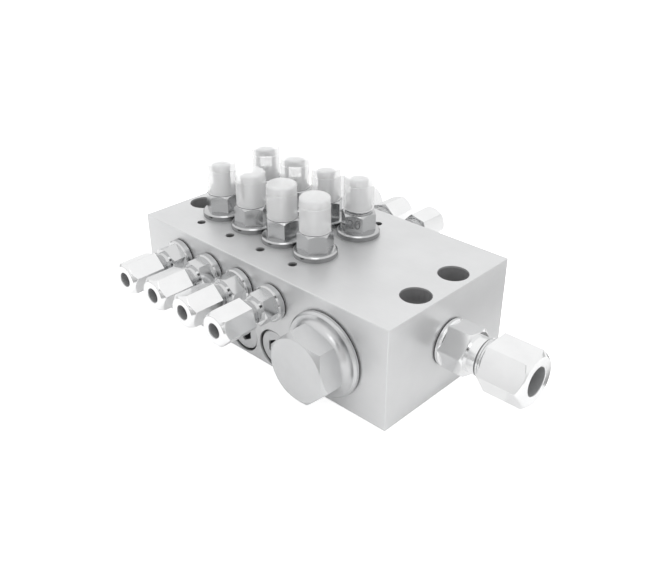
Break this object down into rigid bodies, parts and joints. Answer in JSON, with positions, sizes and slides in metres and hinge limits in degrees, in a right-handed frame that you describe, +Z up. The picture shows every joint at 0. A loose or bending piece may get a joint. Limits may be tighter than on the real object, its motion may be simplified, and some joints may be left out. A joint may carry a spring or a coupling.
{
  "type": "single-line lubrication distributor",
  "caption": "Drilled steel block with metering cartridges under clear caps on top, threaded tube outlets on both long sides and a tube inlet on one end.",
  "frame": {"origin": "centre of the block's flat underside", "axes": "+X along the block to the inlet end, the front row of outlets faces -Y, +Z up through the cartridges"},
  "size_m": [0.1915, 0.144, 0.0763],
  "materials": {
    "block_metal": "satin zinc-plated steel, machined flat",
    "cartridge_metal": "satin nickel-plated steel, turned and milled",
    "piston_steel": "ground steel",
    "clear_plastic": "milky translucent plastic, moulded",
    "fitting_zinc": "bright zinc-plated steel",
    "ring_zinc": "plain steel cutting ring",
    "spring_steel": "spring wire",
    "cup_rubber": "moulded rubber cup",
    "seal_rubber": "black sealing ring",
    "plug_steel": "satin zinc-plated steel",
    "main_plug_steel": "satin zinc-plated steel, turned"
  },
  "bodies": {
    "distributor_body": {"block": "block_metal", "front_outlet_unions": "fitting_zinc", "back_outlet_unions": "fitting_zinc", "cup_valves": "cup_rubber", "cartridge_seals": "seal_rubber", "fitting_seals": "seal_rubber", "main_plug_seals": "seal_rubber", "flush_plugs": "plug_steel", "main_plugs": "main_plug_steel", "inlet_union": "fitting_zinc", "cartridge_body_f1": "cartridge_metal", "cartridge_body_f2": "cartridge_metal", "cartridge_body_f3": "cartridge_metal", "cartridge_body_f4": "cartridge_metal", "cartridge_body_b1": "cartridge_metal", "cartridge_body_b2": "cartridge_metal", "cartridge_body_b3": "cartridge_metal", "cartridge_body_b4": "cartridge_metal", "piston_spring_f1": "spring_steel", "piston_spring_f2": "spring_steel", "piston_spring_f3": "spring_steel", "piston_spring_f4": "spring_steel", "piston_spring_b1": "spring_steel", "piston_spring_b2": "spring_steel", "piston_spring_b3": "spring_steel", "piston_spring_b4": "spring_steel"},
    "cap_f1": {"clear_cap_f1": "clear_plastic"},
    "piston_f1": {"metering_piston_f1": "piston_steel"},
    "ring_f1": {"cutting_ring_f1": "ring_zinc"},
    "nut_f1": {"outlet_nut_f1": "fitting_zinc"},
    "cap_f2": {"clear_cap_f2": "clear_plastic"},
    "piston_f2": {"metering_piston_f2": "piston_steel"},
    "ring_f2": {"cutting_ring_f2": "ring_zinc"},
    "nut_f2": {"outlet_nut_f2": "fitting_zinc"},
    "cap_f3": {"clear_cap_f3": "clear_plastic"},
    "piston_f3": {"metering_piston_f3": "piston_steel"},
    "ring_f3": {"cutting_ring_f3": "ring_zinc"},
    "nut_f3": {"outlet_nut_f3": "fitting_zinc"},
    "cap_f4": {"clear_cap_f4": "clear_plastic"},
    "piston_f4": {"metering_piston_f4": "piston_steel"},
    "ring_f4": {"cutting_ring_f4": "ring_zinc"},
    "nut_f4": {"outlet_nut_f4": "fitting_zinc"},
    "cap_b1": {"clear_cap_b1": "clear_plastic"},
    "piston_b1": {"metering_piston_b1": "piston_steel"},
    "ring_b1": {"cutting_ring_b1": "ring_zinc"},
    "nut_b1": {"outlet_nut_b1": "fitting_zinc"},
    "cap_b2": {"clear_cap_b2": "clear_plastic"},
    "piston_b2": {"metering_piston_b2": "piston_steel"},
    "ring_b2": {"cutting_ring_b2": "ring_zinc"},
    "nut_b2": {"outlet_nut_b2": "fitting_zinc"},
    "cap_b3": {"clear_cap_b3": "clear_plastic"},
    "piston_b3": {"metering_piston_b3": "piston_steel"},
    "ring_b3": {"cutting_ring_b3": "ring_zinc"},
    "nut_b3": {"outlet_nut_b3": "fitting_zinc"},
    "cap_b4": {"clear_cap_b4": "clear_plastic"},
    "piston_b4": {"metering_piston_b4": "piston_steel"},
    "ring_b4": {"cutting_ring_b4": "ring_zinc"},
    "nut_b4": {"outlet_nut_b4": "fitting_zinc"},
    "inlet_ring": {"inlet_cutting_ring": "ring_zinc"},
    "inlet_nut_body": {"inlet_nut": "fitting_zinc"}
  },
  "joints": [
    {"name": "cap_lift_f1", "type": "slide", "parent": "distributor_body", "child": "cap_f1", "axis": [0, 0, 1], "range_m": [0, 0.016]},
    {"name": "piston_stroke_f1", "type": "slide", "parent": "distributor_body", "child": "piston_f1", "axis": [0, 0, 1], "range_m": [0, 0.006], "stiffness_N_per_m": 150, "springref_m": -0.004, "deforming": ["piston_spring_f1"]},
    {"name": "ring_travel_f1", "type": "slide", "parent": "distributor_body", "child": "ring_f1", "axis": [0, -1, 0], "range_m": [0, 0.006]},
    {"name": "nut_turn_f1", "type": "hinge", "parent": "ring_f1", "child": "nut_f1", "pos_m": [-0.049, -0.056, 0.0345], "axis": [0, -1, 0], "range_deg": [0, 1440]},
    {"name": "cap_lift_f2", "type": "slide", "parent": "distributor_body", "child": "cap_f2", "axis": [0, 0, 1], "range_m": [0, 0.016]},
    {"name": "piston_stroke_f2", "type": "slide", "parent": "distributor_body", "child": "piston_f2", "axis": [0, 0, 1], "range_m": [0, 0.006], "stiffness_N_per_m": 150, "springref_m": -0.004, "deforming": ["piston_spring_f2"]},
    {"name": "ring_travel_f2", "type": "slide", "parent": "distributor_body", "child": "ring_f2", "axis": [0, -1, 0], "range_m": [0, 0.006]},
    {"name": "nut_turn_f2", "type": "hinge", "parent": "ring_f2", "child": "nut_f2", "pos_m": [-0.02875, -0.056, 0.0345], "axis": [0, -1, 0], "range_deg": [0, 1440]},
    {"name": "cap_lift_f3", "type": "slide", "parent": "distributor_body", "child": "cap_f3", "axis": [0, 0, 1], "range_m": [0, 0.016]},
    {"name": "piston_stroke_f3", "type": "slide", "parent": "distributor_body", "child": "piston_f3", "axis": [0, 0, 1], "range_m": [0, 0.006], "stiffness_N_per_m": 150, "springref_m": -0.004, "deforming": ["piston_spring_f3"]},
    {"name": "ring_travel_f3", "type": "slide", "parent": "distributor_body", "child": "ring_f3", "axis": [0, -1, 0], "range_m": [0, 0.006]},
    {"name": "nut_turn_f3", "type": "hinge", "parent": "ring_f3", "child": "nut_f3", "pos_m": [-0.0085, -0.056, 0.0345], "axis": [0, -1, 0], "range_deg": [0, 1440]},
    {"name": "cap_lift_f4", "type": "slide", "parent": "distributor_body", "child": "cap_f4", "axis": [0, 0, 1], "range_m": [0, 0.016]},
    {"name": "piston_stroke_f4", "type": "slide", "parent": "distributor_body", "child": "piston_f4", "axis": [0, 0, 1], "range_m": [0, 0.006], "stiffness_N_per_m": 150, "springref_m": -0.004, "deforming": ["piston_spring_f4"]},
    {"name": "ring_travel_f4", "type": "slide", "parent": "distributor_body", "child": "ring_f4", "axis": [0, -1, 0], "range_m": [0, 0.006]},
    {"name": "nut_turn_f4", "type": "hinge", "parent": "ring_f4", "child": "nut_f4", "pos_m": [0.01175, -0.056, 0.0345], "axis": [0, -1, 0], "range_deg": [0, 1440]},
    {"name": "cap_lift_b1", "type": "slide", "parent": "distributor_body", "child": "cap_b1", "axis": [0, 0, 1], "range_m": [0, 0.016]},
    {"name": "piston_stroke_b1", "type": "slide", "parent": "distributor_body", "child": "piston_b1", "axis": [0, 0, 1], "range_m": [0, 0.006], "stiffness_N_per_m": 150, "springref_m": -0.004, "deforming": ["piston_spring_b1"]},
    {"name": "ring_travel_b1", "type": "slide", "parent": "distributor_body", "child": "ring_b1", "axis": [0, 1, 0], "range_m": [0, 0.006]},
    {"name": "nut_turn_b1", "type": "hinge", "parent": "ring_b1", "child": "nut_b1", "pos_m": [-0.049, 0.056, 0.0345], "axis": [0, 1, 0], "range_deg": [0, 1440]},
    {"name": "cap_lift_b2", "type": "slide", "parent": "distributor_body", "child": "cap_b2", "axis": [0, 0, 1], "range_m": [0, 0.016]},
    {"name": "piston_stroke_b2", "type": "slide", "parent": "distributor_body", "child": "piston_b2", "axis": [0, 0, 1], "range_m": [0, 0.006], "stiffness_N_per_m": 150, "springref_m": -0.004, "deforming": ["piston_spring_b2"]},
    {"name": "ring_travel_b2", "type": "slide", "parent": "distributor_body", "child": "ring_b2", "axis": [0, 1, 0], "range_m": [0, 0.006]},
    {"name": "nut_turn_b2", "type": "hinge", "parent": "ring_b2", "child": "nut_b2", "pos_m": [-0.02875, 0.056, 0.0345], "axis": [0, 1, 0], "range_deg": [0, 1440]},
    {"name": "cap_lift_b3", "type": "slide", "parent": "distributor_body", "child": "cap_b3", "axis": [0, 0, 1], "range_m": [0, 0.016]},
    {"name": "piston_stroke_b3", "type": "slide", "parent": "distributor_body", "child": "piston_b3", "axis": [0, 0, 1], "range_m": [0, 0.006], "stiffness_N_per_m": 150, "springref_m": -0.004, "deforming": ["piston_spring_b3"]},
    {"name": "ring_travel_b3", "type": "slide", "parent": "distributor_body", "child": "ring_b3", "axis": [0, 1, 0], "range_m": [0, 0.006]},
    {"name": "nut_turn_b3", "type": "hinge", "parent": "ring_b3", "child": "nut_b3", "pos_m": [-0.0085, 0.056, 0.0345], "axis": [0, 1, 0], "range_deg": [0, 1440]},
    {"name": "cap_lift_b4", "type": "slide", "parent": "distributor_body", "child": "cap_b4", "axis": [0, 0, 1], "range_m": [0, 0.016]},
    {"name": "piston_stroke_b4", "type": "slide", "parent": "distributor_body", "child": "piston_b4", "axis": [0, 0, 1], "range_m": [0, 0.006], "stiffness_N_per_m": 150, "springref_m": -0.004, "deforming": ["piston_spring_b4"]},
    {"name": "ring_travel_b4", "type": "slide", "parent": "distributor_body", "child": "ring_b4", "axis": [0, 1, 0], "range_m": [0, 0.006]},
    {"name": "nut_turn_b4", "type": "hinge", "parent": "ring_b4", "child": "nut_b4", "pos_m": [0.01175, 0.056, 0.0345], "axis": [0, 1, 0], "range_deg": [0, 1440]},
    {"name": "inlet_ring_travel", "type": "slide", "parent": "distributor_body", "child": "inlet_ring", "axis": [1, 0, 0], "range_m": [0, 0.006]},
    {"name": "inlet_nut_turn", "type": "hinge", "parent": "inlet_ring", "child": "inlet_nut_body", "pos_m": [0.097, 0, 0.024], "axis": [1, 0, 0], "range_deg": [0, 1440]}
  ],
  "couplings": [
    {"joint": "ring_travel_f1", "follows": "nut_turn_f1", "m_per_rad": 0.00023873},
    {"joint": "ring_travel_f2", "follows": "nut_turn_f2", "m_per_rad": 0.00023873},
    {"joint": "ring_travel_f3", "follows": "nut_turn_f3", "m_per_rad": 0.00023873},
    {"joint": "ring_travel_f4", "follows": "nut_turn_f4", "m_per_rad": 0.00023873},
    {"joint": "ring_travel_b1", "follows": "nut_turn_b1", "m_per_rad": 0.00023873},
    {"joint": "ring_travel_b2", "follows": "nut_turn_b2", "m_per_rad": 0.00023873},
    {"joint": "ring_travel_b3", "follows": "nut_turn_b3", "m_per_rad": 0.00023873},
    {"joint": "ring_travel_b4", "follows": "nut_turn_b4", "m_per_rad": 0.00023873},
    {"joint": "inlet_ring_travel", "follows": "inlet_nut_turn", "m_per_rad": 0.00023873}
  ]
}
